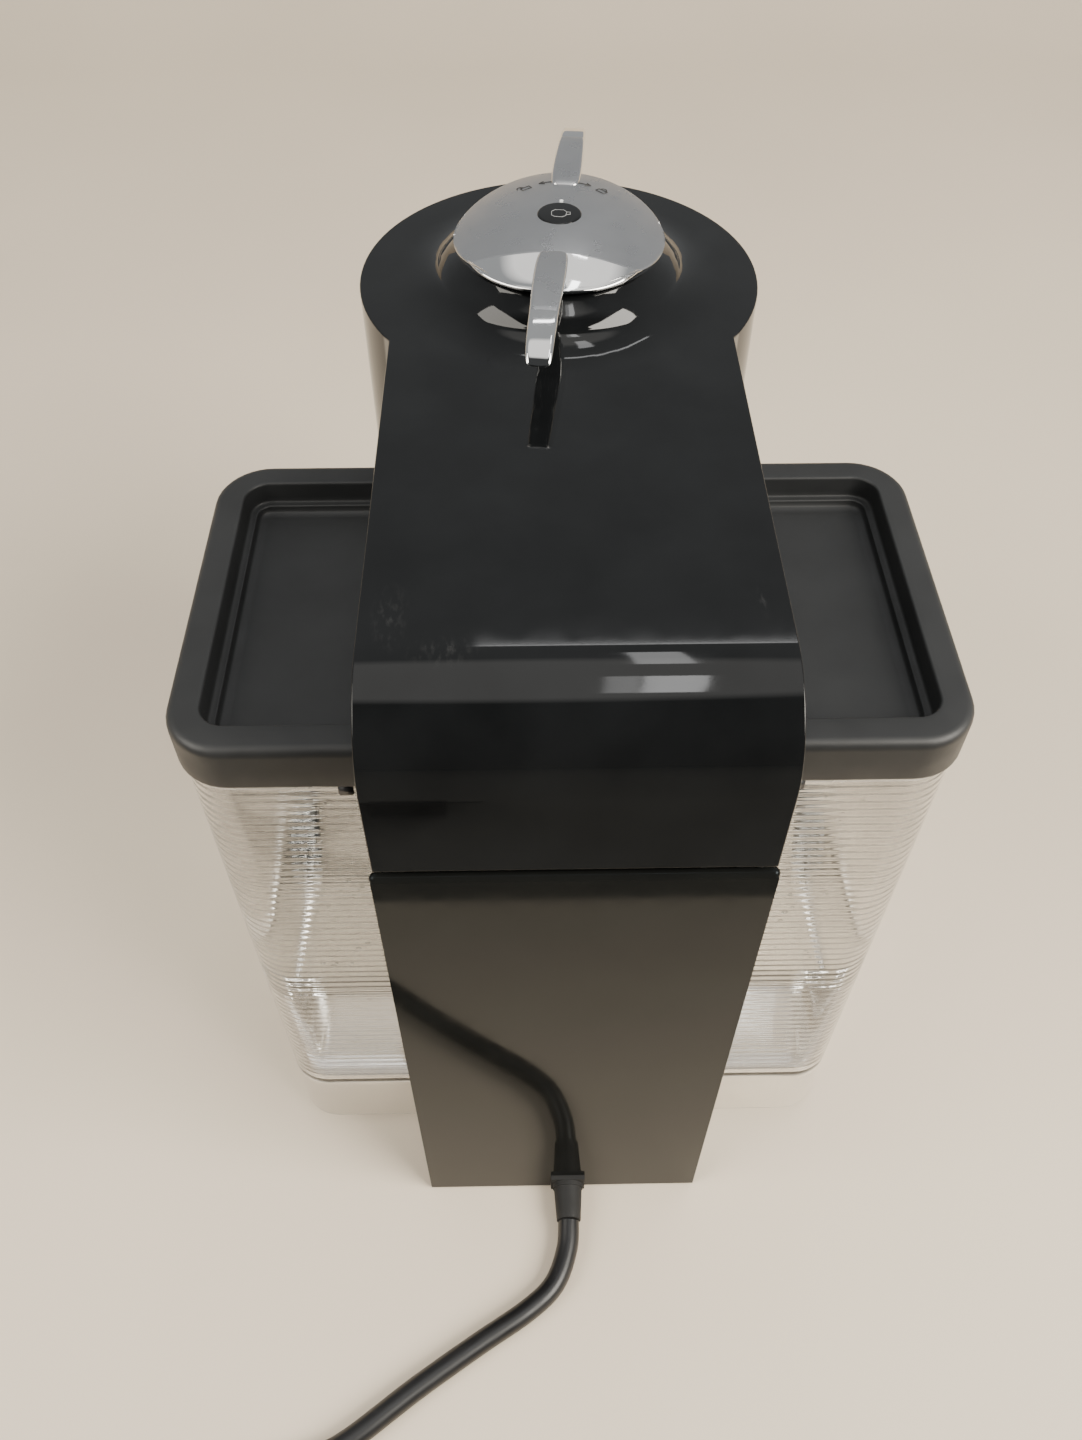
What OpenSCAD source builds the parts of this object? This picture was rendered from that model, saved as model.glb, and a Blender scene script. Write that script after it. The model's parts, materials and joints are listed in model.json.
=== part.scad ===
// Capsule coffee machine with a swinging head, a rear arch and a clear water tank.
// The front of the machine faces -Y. The origin is on the table, at the centre of the footprint.

/* [Machine] */
// Distance from the table to the flat top of the arch
top_z = 283.6; // [280:0.2:290]
// How far the rear panel stands behind the origin
rear_y = 151; // [150:0.5:152]
// How far the cup support stands in front of the origin
front_reach = 151; // [148:0.5:154]

/* [Arch and head] */
// Width of the arch
arch_w = 101; // [99:0.2:102]
// Outer radius of the round head
head_r = 61.6; // [60:0.1:62.5]
// Lever axis, in front of the origin
head_reach = 32.3; // [31:0.1:33]
// Radius of the arch's rear bend
bend_r = 25.5; // [24:0.1:27]
// Wall thickness of the outer shells
wall = 2.5; // [2:0.1:2.6]

/* [Lever] */
// Radius of the chromed disc
disc_r = 32; // [30:0.2:33]
// Reach of each wing from the lever axis
wing_reach = 69; // [60:0.5:70]
// Angle that the wings make with the machine's centre line
lever_angle = 6.2; // [0:0.1:10]
// Radius of the push button
button_r = 6.8; // [6:0.1:7]

/* [Water tank] */
// Width of the tank lid
lid_w = 210; // [200:1:220]
// Depth of the tank lid
lid_d = 113.6; // [110:0.2:114]
// Height of the lid's rim above the table
lid_top_z = 246.1; // [244:0.1:246.4]
// Height of the lid's outer edge
lid_h = 15.6; // [12:0.1:17]
// Corner radius of the lid
lid_corner = 16; // [14:0.5:20]
// Depth of the tray recess in the lid
lid_recess = 8.5; // [6:0.5:10]
// Width of the lid's rim around the recess
lid_rim = 9.3; // [8:0.1:12]
// Wall thickness of the tank
tank_wall = 2.4; // [2:0.1:3]

/* [Column] */
// Width of the rear panel
panel_w = 102.8; // [102:0.2:104]
// Height of the rear panel
panel_h = 225.9; // [225:0.1:226.5]

/* [Cord] */
// Diameter of the mains cord
cord_d = 8; // [7:0.5:8]

/* [Hidden] */
$fn = 64;

head_y = -head_reach;
front_y = -front_reach;
gap = 0.3;            // play between parts that move past each other
fit = 0.05;           // radial play of a running shaft
hair = 0.01;          // overcut of a boolean

// Arch and head shell
arch_low_z = 250;     // underside of the arch
crest_y = rear_y - bend_r;
bend_z = top_z - bend_r;
leg_low_z = 229.5;    // lower edge of the arch's rear leg
skirt_low_z = 206;    // lower edge of the head's round skirt
skirt_rear_y = 11;    // flat rear of the skirt, in front of the tank
skirt_wall = 2.2;
liner_t = 2;
liner_top_z = arch_low_z + liner_t;
liner_rear_y = 128;
liner_hole_r = 32;

// Boss below the lever
boss_foot_r = 52;
boss_knee_r = 36.5;
boss_knee_z = top_z + 5;
boss_top_r = 30;
boss_top_z = top_z + 10.4;

// Head hinge
pivot_y = 138;
pivot_z = 240;
pin_r = 3;
knuckle_r = 7;
arm_in_x = 30;
arm_t = 6;
ear_in_x = arm_in_x + arm_t + gap;
ear_t = 6;
ear_foot_z = 190;
ear_plate_t = 6;

// Lever and button
disc_low_z = top_z + 11.6;
disc_top_z = disc_low_z + 8.3;
disc_side_fall = 7.6;   // drop of the dome at its rim to either side
disc_end_fall = 2.9;    // and towards the wings
facet_y = 20.5;         // where the polished facet starts
facet_low_z = disc_low_z + 1.7;
spindle_r = 9;
spindle_bore_r = 4;
lock_z = 264;
lock_t = 3;
button_low_z = disc_low_z + 4.4;
button_top_z = disc_low_z + 8.6;
button_floor_z = disc_low_z + 1.6;

// Column and base
rail_low_z = 1.6;
rail_top_z = 8;
rail_w = 97.2;
rail_front_y = -95;
column_front_y = 128;
column_top_z = 222;
column_wall = 2.4;
panel_skin = 2.5;
panel_side = 2.6;
panel_low_z = 1;
cord_x = -2;

// Tank
lid_rear_y = lid_d + skirt_rear_y + 1.1;
tank_y = lid_rear_y - lid_d / 2;
tank_w = lid_w - 2.6;
tank_d = lid_d - 2.6;
tank_corner = lid_corner - 1;
tank_low_z = rail_top_z + 0.4;
tank_top_z = lid_top_z - lid_h - 0.1;
tank_floor_z = 37;
tank_floor_t = 3;
valve_r = 9.5;
valve_low_z = rail_top_z + 2;
stem_r = 3;

// Brewing unit under the head
base_low_z = 170;
base_shoulder_z = 205;
neck_r = 53;
neck_rear_y = 4.2;
neck_top_z = 244;
neck_wall = 2;
deck_t = 2.4;
bowl_r = 33.6;
bowl_floor_z = 206;
cup_r = 30.6;
cup_floor_z = 209;
shaft_r = 5;
motor_x = 24;
motor_y = -12;
motor_r = 12.5;
motor_shaft_r = 2.5;
belt_z = 196;
belt_h = 6;
rotor_pulley_r = 12;
motor_pulley_r = 6;
spout_y = -112;
pump_x = -22;
pump_y = -15;

// Front column and capsule container
front_col_w = 100;
front_col_y = -40;
front_col_rear_y = 9;
box_w = 94;
box_front_y = -95;
box_rear_y = -41.5;
box_low_z = 9;
box_top_z = 168;
box_wall = 2.2;
guide_in_x = 32;

// Cup support
cup_w = 84;
cup_low_z = 3;
cup_h = 21;
cup_wall = 2;
cup_rear_y = -101.2;

// Cord: it leaves the column at the foot, lies on the table and ends in a coil beyond the view
cord_r = cord_d / 2;
coil_x = 144;
coil_y = 302;
coil_r = 44;
cord_sides = 10;
plug_x = coil_x - 28;   // start of the plug's strain relief
cord_route = [
  [-2, 166, 5.4], [-1, 176, 4.4], [4, 188, 4], [14, 197, 4], [32, 208, 4],
  [54, 222, 4], [76, 237.3, 4], [87, 242.4, 4], [98, 245.4, 4], [112, 247.7, 4],
  [128, 250.4, 4], [146, 253.7, 4]
];

// ---- helpers ----

// Children are a profile with Y to the right and Z up. It is extruded along X, centred on x = 0.
module across(w) {
  translate([-w / 2, 0, 0]) rotate([90, 0, 90]) linear_extrude(w) children();
}

// The same profile, from x = low to x = high, and mirrored to the other side
module both_sides(low, high) {
  for (side = [0, 1]) mirror([side, 0, 0])
    translate([low, 0, 0]) rotate([90, 0, 90]) linear_extrude(high - low) children();
}

// Rounded rectangle with its centre at the origin
module rounded(w, d, r) {
  square([w - 2 * r, d], center = true);
  square([w, d - 2 * r], center = true);
  for (x = [-1, 1], y = [-1, 1]) translate([x * (w / 2 - r), y * (d / 2 - r)]) circle(r);
}

module slab(w, d, r, low, high) {
  translate([0, 0, low]) linear_extrude(high - low) rounded(w, d, r);
}

module at_head() {
  translate([0, head_y, 0]) children();
}

module tube(outer, inner, low, high) {
  translate([0, 0, low]) difference() {
    cylinder(h = high - low, r = outer);
    translate([0, 0, -1]) cylinder(h = high - low + 2, r = inner);
  }
}

// Everything in front of y = rear, between two heights
module front_part(rear, low, high) {
  translate([-200, rear - 400, low]) cube([400, 400, high - low]);
}

// A hose or cord swept along its route. The upright vector isn't parallel to any stretch of it.
function route_dir(p, i) = let (
    a = p[max(i - 1, 0)],
    b = p[min(i + 1, len(p) - 1)]
  ) (b - a) / norm(b - a);

function ring_point(c, d, r, a, upright) = let (
    side = cross(d, upright) / norm(cross(d, upright)),
    up = cross(side, d)
  ) c + r * (cos(a) * side + sin(a) * up);

module swept(route, r, sides, upright) {
  n = len(route);
  points = [for (i = [0 : n - 1], k = [0 : sides - 1])
    ring_point(route[i], route_dir(route, i), r, 360 * k / sides, upright)];
  skin = [for (i = [0 : n - 2], k = [0 : sides - 1])
    [i * sides + k, (i + 1) * sides + k, (i + 1) * sides + (k + 1) % sides, i * sides + (k + 1) % sides]];
  start = [for (k = [0 : sides - 1]) k];
  end = [for (k = [sides - 1 : -1 : 0]) (n - 1) * sides + k];
  polyhedron(points, concat(skin, [start], [end]), convexity = 4);
}

// ---- head shell ----

// What the rear bend takes off a square corner
module bend_corner(inset) {
  difference() {
    translate([crest_y, bend_z]) square(bend_r + 1);
    translate([crest_y, bend_z]) circle(bend_r - inset, $fn = 96);
  }
}

module arch_outline() {
  difference() {
    polygon([
      [head_y, top_z], [head_y, arch_low_z], [127.5, arch_low_z], [127.5, 246],
      [136, 236], [136, leg_low_z], [rear_y, leg_low_z], [rear_y, top_z]
    ]);
    bend_corner(0);
  }
}

module arch_cavity_outline() {
  difference() {
    polygon([
      [head_y, top_z - wall], [head_y, arch_low_z - 1], [crest_y, arch_low_z - 1],
      [crest_y, leg_low_z - 1], [rear_y - wall, leg_low_z - 1], [rear_y - wall, top_z - wall]
    ]);
    bend_corner(wall);
  }
}

// The head's round body. Below the arch it ends flat, in front of the tank.
module head_round(r, low, high, rear) {
  difference() {
    at_head() translate([0, 0, low]) cylinder(h = high - low, r = r, $fn = 128);
    translate([-200, rear, low - 1]) cube([400, 400, arch_low_z - low + 1]);
  }
}

// Concave fillet from the flat top up to the foot of the cone
function fillet(steps) = [
  for (i = [0 : steps]) let (a = 90 * i / steps)
    [boss_foot_r - (boss_foot_r - boss_knee_r) * sin(a), top_z + (boss_knee_z - top_z) * (1 - cos(a))]
];

module boss() {
  at_head() rotate_extrude($fn = 96) polygon(concat(
    [[0, top_z - wall]], [[boss_foot_r, top_z - wall]], fillet(6),
    [[boss_top_r + 1, boss_top_z - 1.2], [boss_top_r, boss_top_z], [0, boss_top_z]]
  ));
}

module head_shell() {
  color([0.15, 0.16, 0.16]) difference() {
    union() {
      head_round(head_r, skirt_low_z, top_z, skirt_rear_y);
      across(arch_w) arch_outline();
      boss();
    }
    head_round(head_r - wall, skirt_low_z - 1, top_z - wall, skirt_rear_y - skirt_wall);
    across(arch_w - 2 * wall) arch_cavity_outline();
    at_head() translate([0, 0, top_z - wall - 1])
      cylinder(h = boss_top_z - top_z + 1, r1 = boss_knee_r - 2, r2 = boss_top_r - 2);
    at_head() cylinder(h = 400, r = spindle_r + fit);
  }
}

module head_liner() {
  color([0.1, 0.1, 0.11]) translate([0, 0, arch_low_z]) linear_extrude(liner_t) difference() {
    union() {
      translate([0, head_y]) circle(head_r - wall, $fn = 96);
      translate([-arch_w / 2 + wall, head_y]) square([arch_w - 2 * wall, liner_rear_y - head_y]);
    }
    translate([0, head_y]) circle(liner_hole_r);
  }
}

module hinge_arms() {
  color([0.35, 0.36, 0.37]) both_sides(arm_in_x, arm_in_x + arm_t) difference() {
    union() {
      translate([pivot_y, pivot_z]) circle(knuckle_r);
      polygon([
        [liner_rear_y + 0.3, pivot_z + 3], [liner_rear_y + 0.3, liner_top_z], [95, liner_top_z],
        [95, 260], [140, 260], [pivot_y + knuckle_r - 0.6, pivot_z + 3]
      ]);
    }
    translate([pivot_y, pivot_z]) circle(pin_r + fit);
  }
}

module liner_screws() {
  color("silver") for (x = [-40, 40], y = [25, 60, 95]) translate([x, y, 0]) {
    translate([0, 0, arch_low_z - 1.2]) cylinder(h = 1.2, r = 3);
    translate([0, 0, arch_low_z - hair]) cylinder(h = 10, r = 1.4);
  }
}

module injector() {
  color([0.75, 0.75, 0.76]) at_head() {
    translate([0, 0, liner_top_z]) cylinder(h = 3, r = 38);
    translate([0, 0, 246]) cylinder(h = liner_top_z - 246 + hair, r = 8);
    translate([0, 0, liner_top_z + 3 - hair]) cylinder(h = 5, r = 6);
    translate([0, 0, 240]) cylinder(h = 6 + hair, r1 = 0.5, r2 = 1.4);
  }
}

module bell_bearing() {
  color("silver") at_head() tube(12, 8, 246.6, 250.2);
}

module head_hose() {
  z = liner_top_z + 5.4;
  color([0.8, 0.8, 0.78])
    swept([[18, 118, z], [18, -10, z], [16, -17, z], [11, -23, z], [4, head_y + 6, z]], 2.3, 8, [0, 0, 1]);
}

module clamp_bell() {
  color([0.2, 0.2, 0.22]) at_head() tube(30.5, 12 + fit, 246, 250.6);
}

module bell_gasket() {
  color([0.55, 0.2, 0.15]) at_head() tube(29, 26, 244.8, 246);
}

// ---- lever and button ----

// A wing of the lever, seen from the side: distance from the axis, then height
module wing_side() {
  z = disc_low_z;
  r = wing_reach;
  polygon([
    [14, z + 2], [14, z + 6.4], [20, z + 7.7], [34, z + 8.2], [50, z + 7.9], [r - 11, z + 7.1],
    [r - 7, z + 6.1], [r - 4, z + 5], [r - 1.4, z + 3.6], [r, z + 2.2], [r - 0.4, z + 1], [r - 2, z + 0.4],
    [56, z + 0.6], [44, z + 1], [33, z + 1.4], [26, z + 1.2]
  ]);
}

// The same wing from above
module wing_plan() {
  tip_r = 3.65;
  polygon([
    [-5, 12], [5, 12], [5, 24], [tip_r + 0.2, wing_reach - 14], [tip_r, wing_reach - tip_r],
    [-tip_r, wing_reach - tip_r], [-tip_r - 0.2, wing_reach - 14], [-5, 24]
  ]);
  translate([0, wing_reach - tip_r]) circle(tip_r);
}

// Dome height at a distance from the middle, for a given drop at the rim
function dome_z(d, fall) = disc_top_z - fall * pow(d / disc_r, 2);

// The disc: a dome that falls more to its sides, cut by a facet on the rear side
module disc_form() {
  edge = disc_r + 1;
  steps = 8;
  intersection() {
    translate([0, 0, disc_low_z]) cylinder(h = 12, r = disc_r, $fn = 96);
    rotate([90, 0, 0]) translate([0, 0, -edge]) linear_extrude(2 * edge) polygon(concat(
      [[-edge, disc_low_z], [edge, disc_low_z]],
      [for (i = [steps : -1 : -steps]) [edge * i / steps, dome_z(edge * i / steps, disc_side_fall)]]
    ));
    rotate([90, 0, 90]) translate([0, 0, -edge]) linear_extrude(2 * edge) polygon(concat(
      [[-edge, disc_low_z], [edge, disc_low_z], [edge, facet_low_z], [facet_y, dome_z(facet_y, disc_end_fall)]],
      [for (i = [4 : -1 : -steps]) [edge * i / steps, dome_z(edge * i / steps, disc_end_fall)]]
    ));
  }
}

module lever_handle() {
  z = disc_low_z;
  color([0.78, 0.78, 0.79]) at_head() rotate([0, 0, -lever_angle]) difference() {
    union() {
      disc_form();
      for (turn = [0, 180]) rotate([0, 0, turn]) intersection() {
        rotate([90, 0, 90]) translate([0, 0, -6]) linear_extrude(12) wing_side();
        translate([0, 0, z - 10]) linear_extrude(30) wing_plan();
      }
    }
    translate([0, 0, z - 1]) cylinder(h = button_floor_z - z, r = 26);
    translate([0, 0, z - 1]) cylinder(h = 20, r = spindle_bore_r);
    translate([0, 0, button_floor_z]) cylinder(h = 20, r = button_r + 0.25);
  }
}

module lever_spindle() {
  color([0.6, 0.6, 0.62]) at_head() tube(spindle_r, spindle_bore_r, lock_z + lock_t, button_floor_z - 1);
}

module lock_plate() {
  color([0.5, 0.5, 0.52]) at_head() rotate([0, 0, -lever_angle]) {
    translate([0, 0, lock_z]) cylinder(h = lock_t, r = 20);
    translate([-44, -7, lock_z]) cube([88, 14, lock_t]);
    for (side = [0, 1]) mirror([side, 0, 0]) translate([41, -7, lock_z - 8]) cube([3, 14, 8 + hair]);
  }
}

module button_switch() {
  color([0.1, 0.3, 0.15]) at_head() translate([0, 0, 280]) cylinder(h = 12, r = spindle_bore_r - 0.1);
}

module button_cap() {
  color([0.07, 0.07, 0.08]) at_head() {
    translate([0, 0, button_low_z]) rotate_extrude() polygon([
      [0, 0], [button_r, 0], [button_r, 3.4], [button_r - 0.5, 4], [0, button_top_z - button_low_z]
    ]);
    translate([0, 0, 293.6]) cylinder(h = button_low_z - 293.6 + hair, r = 2);
  }
}

module button_spring() {
  color("silver") at_head() tube(3.6, 2.6, button_floor_z, button_low_z);
}

// ---- column, base and hinge ----

module base_rail() {
  color([0.12, 0.12, 0.13]) difference() {
    translate([-rail_w / 2, rail_front_y, rail_low_z])
      cube([rail_w, 148 - rail_front_y, rail_top_z - rail_low_z]);
    translate([-rail_w / 2 + 2, rail_front_y + 2, rail_low_z - 1])
      cube([rail_w - 4, 134 - rail_front_y, rail_top_z - rail_low_z - 0.6]);
    translate([0, tank_y, 0]) cylinder(h = 20, r = valve_r);
    translate([pump_x - 3, pump_y - 3, 0]) cube([6, 13, 20]);
    translate([cord_x - 7, 142.5, 0]) cube([14, 10, 20]);
    for (x = [-38, 38], y = [-60, 100]) translate([x, y, 0]) cylinder(h = 20, r = 1.5);
  }
}

module rubber_feet() {
  color([0.05, 0.05, 0.05]) for (x = [-38, 38], y = [-82, 20, 141]) translate([x, y, 0])
    cylinder(h = y > 130 ? rail_low_z : rail_top_z - 1.6, r = 6);
}

module base_screws() {
  color("silver") for (x = [-38, 38], y = [-60, 100]) translate([x, y, 0]) {
    translate([0, 0, 5]) cylinder(h = 1.4, r = 3);
    translate([0, 0, 6.4 - hair]) cylinder(h = 1.5, r = 1.5);
  }
}

module rear_column() {
  depth = rear_y - panel_skin - column_front_y;
  w = panel_w - 2 * panel_side - 0.2;
  color([0.13, 0.13, 0.14]) translate([-w / 2, column_front_y, rail_top_z]) difference() {
    cube([w, depth, column_top_z - rail_top_z]);
    translate([column_wall, column_wall, -1])
      cube([w - 2 * column_wall, depth, column_top_z]);
  }
}

module rear_panel() {
  bead_r = 1.7;
  bead_z = panel_h - bead_r;
  bead_y = rear_y - bead_r;
  color([0.2, 0.2, 0.2]) {
    difference() {
      union() {
        translate([-panel_w / 2, column_front_y, panel_low_z])
          cube([panel_w, rear_y - column_front_y, column_top_z - panel_low_z]);
        translate([-panel_w / 2, rear_y - panel_skin, panel_low_z])
          cube([panel_w, panel_skin, bead_z - panel_low_z]);
        translate([1.2 - panel_w / 2, bead_y, bead_z]) rotate([0, 90, 0])
          cylinder(h = panel_w - 2.4, r = bead_r);
        for (x = [-1, 1]) translate([x * (panel_w / 2 - 1.2), bead_y, bead_z]) sphere(bead_r);
      }
      translate([-panel_w / 2 + panel_side, column_front_y - 1, 0])
        cube([panel_w - 2 * panel_side, rear_y - panel_skin - column_front_y + 1, 300]);
      translate([cord_x - 6.6, rear_y - 10, 0]) cube([13.2, 20, 12]);
    }
  }
}

module hinge_bracket() {
  color([0.45, 0.46, 0.47]) {
    both_sides(ear_in_x, ear_in_x + ear_t) difference() {
      union() {
        translate([pivot_y, pivot_z]) circle(knuckle_r);
        translate([131, ear_foot_z]) square([6.5, pivot_z - ear_foot_z]);
      }
      translate([pivot_y, pivot_z]) circle(pin_r);
    }
    translate([-46, 130.6, ear_foot_z]) cube([92, 17, ear_plate_t]);
  }
}

module hinge_pins() {
  color("silver") both_sides(28, 44) translate([pivot_y, pivot_z]) circle(pin_r);
}

module power_board() {
  color([0.1, 0.35, 0.2]) {
    translate([-46.2, 140, 40]) cube([92.4, 1.6, 130]);
    translate([-30, 133, 60]) cube([22, 7 + hair, 30]);
    translate([8, 134, 55]) cube([14, 6 + hair, 26]);
    translate([-10, 132.5, 110]) cube([28, 7.5 + hair, 22]);
    for (x = [-36, 30]) translate([x, 140 + hair, 150]) rotate([90, 0, 0]) cylinder(h = 8, r = 5);
  }
}

module cord_gland() {
  color([0.05, 0.05, 0.05]) difference() {
    union() {
      translate([cord_x - 6.5, 143, 1.2]) cube([13, 9.6, 10.6]);
      translate([cord_x, 152.6 - hair, 5.9]) rotate([-90, 0, 0]) cylinder(h = 1.6, r = 5.8);
      translate([cord_x, 154.2 - 2 * hair, 5.8]) rotate([-90, 0, 0])
        cylinder(h = 11.8, r1 = 5.4, r2 = 4.6);
    }
    translate([cord_x, 130, 6.2]) rotate([-90, 0, 0]) cylinder(h = 15, r = 2);
  }
}

// ---- cord ----

module power_cord() {
  color([0.04, 0.04, 0.04]) swept(cord_route, cord_r - 0.02, cord_sides, [0, 0, 1]);
}

module cord_coil() {
  color([0.04, 0.04, 0.04]) translate([coil_x, coil_y, 0])
    tube(coil_r + cord_d, coil_r - cord_d, 0, 2 * cord_d);
}

module power_plug() {
  z = 12;
  y = coil_y + coil_r;
  color([0.05, 0.05, 0.05]) {
    translate([plug_x, y, z]) rotate([0, -90, 0]) cylinder(h = 26 + hair, r1 = 4.4, r2 = 7);
    translate([plug_x - 64, y - 14, 0.5]) cube([38, 28, 23]);
  }
  color([0.8, 0.75, 0.5]) {
    for (side = [-1, 1]) translate([plug_x - 80, y + side * 6.35 - 0.75, z - 5.5]) cube([16 + hair, 1.5, 6.4]);
    translate([plug_x - 82, y, z + 6]) rotate([0, 90, 0]) cylinder(h = 18 + hair, r = 2.4);
  }
}

// ---- brewing unit ----

module inlet_port() {
  color([0.3, 0.3, 0.32]) translate([0, tank_y, 0]) difference() {
    translate([0, 0, 3]) cylinder(h = rail_top_z - 3, r = valve_r - 0.02);
    translate([0, 0, 5]) cylinder(h = 10, r = 5);
  }
}

module front_column() {
  d = front_col_rear_y - front_col_y;
  color([0.13, 0.13, 0.14]) translate([0, front_col_rear_y - d / 2, 0]) difference() {
    slab(front_col_w, d, 6, rail_top_z, base_low_z);
    slab(front_col_w - 2 * column_wall, d - 2 * column_wall, 3.6, 0, 300);
  }
}

module head_base() {
  inner_r = head_r - wall;
  color([0.14, 0.14, 0.15]) difference() {
    union() {
      intersection() {
        at_head() translate([0, 0, base_low_z])
          cylinder(h = base_shoulder_z - base_low_z, r = head_r, $fn = 128);
        front_part(front_col_rear_y, 0, 400);
      }
      intersection() {
        at_head() translate([0, 0, base_low_z]) cylinder(h = neck_top_z - base_low_z, r = neck_r);
        front_part(neck_rear_y, 0, 400);
      }
    }
    intersection() {
      at_head() translate([0, 0, base_low_z + wall])
        cylinder(h = base_shoulder_z - base_low_z - 2 * wall, r = inner_r);
      front_part(front_col_rear_y - wall, 0, 400);
    }
    intersection() {
      at_head() translate([0, 0, base_low_z + wall])
        cylinder(h = neck_top_z - base_low_z - wall - deck_t, r = neck_r - neck_wall);
      front_part(neck_rear_y - neck_wall, 0, 400);
    }
    at_head() translate([0, 0, neck_top_z - deck_t - 1]) cylinder(h = 10, r = bowl_r);
    translate([10.5, -26, base_low_z - 1]) cube([28, 31, 5]);
    translate([-30, -20, base_low_z - 1]) cube([16, 22, 5]);
    translate([-9.05, -110, 193.9]) cube([18.1, 40, 11.2]);
  }
}

module collector_bowl() {
  color([0.4, 0.4, 0.42]) at_head() rotate_extrude($fn = 96) polygon([
    [11, bowl_floor_z], [bowl_r, bowl_floor_z], [bowl_r, neck_top_z], [bowl_r - 1.7, neck_top_z],
    [bowl_r - 1.7, bowl_floor_z + 1.8], [11, bowl_floor_z + 1.8]
  ]);
}

module coffee_spout() {
  color([0.7, 0.7, 0.72]) difference() {
    union() {
      translate([-9, spout_y, 194]) cube([18, 60, 11]);
      translate([0, spout_y, 172]) cylinder(h = 33, r = 9);
      translate([0, -58, 205 - hair]) cylinder(h = 1, r = 5);
    }
    translate([0, spout_y, 171]) cylinder(h = 28, r = 4);
    translate([0, spout_y, 199]) rotate([-90, 0, 0]) cylinder(h = 57, r = 3);
    translate([0, -58, 199]) cylinder(h = 10, r = 3);
  }
}

module bearing_block() {
  color([0.7, 0.7, 0.72]) at_head() tube(12, shaft_r + fit, base_low_z + wall, belt_z - 1.5);
}

module motor_bracket() {
  color([0.5, 0.5, 0.52]) difference() {
    translate([0, (front_col_rear_y + front_col_y) / 2, 0]) slab(95, 44, 3.6, 146, 150);
    translate([pump_x, pump_y, 140]) cylinder(h = 20, r = 4);
  }
}

module drive_motor() {
  color([0.6, 0.6, 0.62]) translate([motor_x, motor_y, 0]) difference() {
    translate([0, 0, 150]) cylinder(h = 42, r = motor_r);
    translate([0, 0, 186]) cylinder(h = 10, r = motor_shaft_r + fit);
  }
}

module belt_loop(play) {
  hull() {
    translate([0, head_y]) circle(rotor_pulley_r + play);
    translate([motor_x, motor_y]) circle(motor_pulley_r + play);
  }
}

module drive_belt() {
  color([0.06, 0.06, 0.06]) translate([0, 0, belt_z + 0.8]) linear_extrude(belt_h - 1.6) difference() {
    belt_loop(1.7);
    belt_loop(0.2);
  }
}

module pump() {
  color([0.55, 0.5, 0.4]) translate([pump_x, pump_y, 0]) {
    translate([-16, -15, 50]) cube([32, 30, 46]);
    translate([0, 0, 22]) cylinder(h = 102, r = 9);
  }
}

module pump_mounts() {
  color([0.05, 0.05, 0.05]) translate([pump_x, pump_y, 0]) {
    tube(13, 4.2, rail_top_z, 22);
    tube(13, 9, 96, 102);
  }
}

module heating_block() {
  color([0.75, 0.76, 0.78]) {
    translate([8, -33, 16]) cube([36, 34, 96]);
    for (x = [16, 36]) translate([x, -16, 112 - hair]) cylinder(h = 12, r = 4);
    for (z = [30 : 14 : 100]) translate([6.6, -33, z]) cube([1.5, 34, 4]);
  }
}

module flow_meter() {
  color([0.85, 0.85, 0.82]) translate([pump_x, pump_y, 0]) {
    translate([0, 0, 128]) cylinder(h = 18, r = 13);
    translate([0, 0, 124]) cylinder(h = 4 + hair, r = 4);
  }
}

module water_hoses() {
  z = 4;
  x = pump_x;
  y = pump_y;
  color([0.85, 0.85, 0.83]) {
    swept([[-5, tank_y - 9, z], [-12, 50, z], [-20, 40, z], [x, 30, z], [x, -6, z],
      [x, y + 3, z + 2], [x, y, z + 7], [x, y, 21]], 2.2, 8, [1, 0.2, 0.3]);
    swept([[x, y, 146.5], [x, y, 154], [x, y + 4, 166], [x, y + 5, 178]], 2.2, 8, [1, 0.2, 0.3]);
  }
}

// ---- turning parts ----

module capsule_holder() {
  color([0.65, 0.65, 0.67]) at_head() rotate_extrude($fn = 96) polygon([
    [0, cup_floor_z], [22, cup_floor_z], [cup_r, 222], [cup_r, neck_top_z], [cup_r - 1, neck_top_z],
    [cup_r - 1, 241], [28.4, 241], [28.4, 223], [20, 211.2], [0, 211.2]
  ]);
}

module rotor_shaft() {
  color("silver") at_head() translate([0, 0, 178]) cylinder(h = cup_floor_z - 178, r = shaft_r);
}

module rotor_pulley() {
  color([0.3, 0.3, 0.32]) at_head() tube(rotor_pulley_r, shaft_r, belt_z, belt_z + belt_h);
}

module motor_shaft() {
  color("silver") translate([motor_x, motor_y, 187]) cylinder(h = 16, r = motor_shaft_r);
}

module motor_pulley() {
  color([0.3, 0.3, 0.32]) translate([motor_x, motor_y, 0])
    tube(motor_pulley_r, motor_shaft_r, belt_z, belt_z + belt_h);
}

// ---- water tank ----

module water_tank() {
  inner_w = tank_w - 2 * tank_wall;
  inner_d = tank_d - 2 * tank_wall;
  inner_corner = tank_corner - tank_wall;
  color([0.85, 0.88, 0.9, 0.35]) translate([0, tank_y, 0]) difference() {
    slab(tank_w, tank_d, tank_corner, tank_low_z, tank_top_z);
    slab(inner_w, inner_d, inner_corner, tank_floor_z + tank_floor_t, tank_top_z + 1);
    slab(inner_w, inner_d, inner_corner, tank_low_z - 1, tank_floor_z);
    cylinder(h = 100, r = valve_r);
  }
}

module valve_body() {
  color([0.15, 0.15, 0.16]) translate([0, tank_y, 0]) difference() {
    translate([0, 0, valve_low_z]) cylinder(h = tank_floor_z + tank_floor_t - valve_low_z, r = valve_r - 0.02);
    translate([0, 0, valve_low_z + 4]) cylinder(h = 24, r = 7);
    cylinder(h = 100, r = stem_r + fit);
  }
}

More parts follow.
